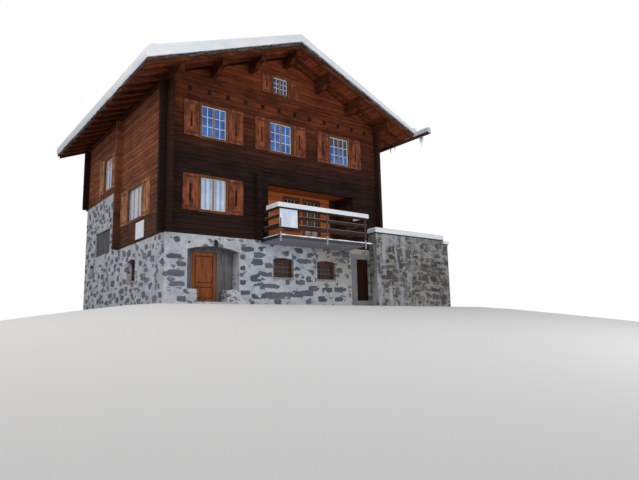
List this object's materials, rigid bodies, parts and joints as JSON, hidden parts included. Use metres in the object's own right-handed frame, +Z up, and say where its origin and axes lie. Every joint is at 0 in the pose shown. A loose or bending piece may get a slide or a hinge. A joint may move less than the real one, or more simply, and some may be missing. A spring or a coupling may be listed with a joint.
{
  "type": "alpine chalet",
  "caption": "Alpine chalet with a rubble stone ground floor, notched log storeys, a loggia with balcony, plank doors and a low snow-covered slab roof.",
  "frame": {"origin": "middle of the main block's footprint, at the foot of its walls", "axes": "+X along the entry front towards the wing wall, +Y into the house from that front, +Z up"},
  "size_m": [16.0098, 13.64, 11.2648],
  "materials": {
    "stone": "lime mortared rubble stone",
    "log": "weathered squared larch logs",
    "roof_timber": "stained roof timber",
    "joinery": "varnished joinery",
    "shutter": "varnished shutters",
    "floor_board": "floor boards",
    "loggia_board": "varnished boards",
    "dark_joinery": "dark stained boards",
    "concrete": "cast concrete",
    "slab": "split stone slabs",
    "snow": "settled snow",
    "glass": "window glass",
    "dark_steel": "dark painted steel",
    "iron": "wrought iron",
    "cloth": "plain cloth",
    "grey_wood": "weathered grey wood",
    "board": "painted board"
  },
  "bodies": {
    "house": {"ground_floor": "stone", "stone_front_left": "stone", "stone_entry_arch": "stone", "stone_front_middle": "stone", "stone_front_right": "stone", "stone_cellar_head": "stone", "cellar_surround": "stone", "stone_wall_left": "stone", "stone_wall_right": "stone", "stone_wall_back": "stone", "wing_wall": "stone", "wing_cap_slabs": "slab", "wing_snow": "snow", "wing_step_snow": "snow", "entry_frame": "grey_wood", "entry_plinths": "stone", "log_front_lower": "log", "log_front_upper": "log", "log_back_upper": "log", "log_left_lower": "log", "log_left_upper": "log", "log_right_lower": "log", "log_right_upper": "log", "log_gable_front": "log", "log_gable_back": "log", "loggia_walls": "loggia_board", "first_floor": "floor_board", "second_floor": "floor_board", "attic_floor": "floor_board", "joist_ends": "roof_timber", "window_casings": "joinery", "window_sashes": "joinery", "window_glass": "glass", "shutters": "shutter", "stone_window_frames": "joinery", "window_sills": "slab", "window_grilles": "iron", "boarded_opening": "grey_wood", "purlins": "roof_timber", "rafters_left": "roof_timber", "rafters_right": "roof_timber", "roof_boards_left": "roof_timber", "roof_boards_right": "roof_timber", "roof_slabs_left": "slab", "roof_slabs_right": "slab", "roof_snow_left": "snow", "roof_snow_right": "snow", "gutter": "roof_timber", "balcony_slab": "concrete", "balcony_frame": "dark_steel", "balcony_boards": "log", "balcony_rail": "log", "balcony_snow": "snow", "balcony_banner": "cloth", "notice_board": "board", "wall_lantern": "iron"},
    "front_door": {"front_door": "joinery"},
    "cellar_door": {"cellar_door": "dark_joinery"}
  },
  "joints": [
    {"name": "front_door_hinge", "type": "hinge", "parent": "house", "child": "front_door", "pos_m": [-3.932, -4.49, 1.1], "axis": [0, 0, 1], "range_deg": [0, 95]},
    {"name": "cellar_door_hinge", "type": "hinge", "parent": "house", "child": "cellar_door", "pos_m": [3.74, -5.01, 1.2], "axis": [0, 0, -1], "range_deg": [0, 95]}
  ]
}
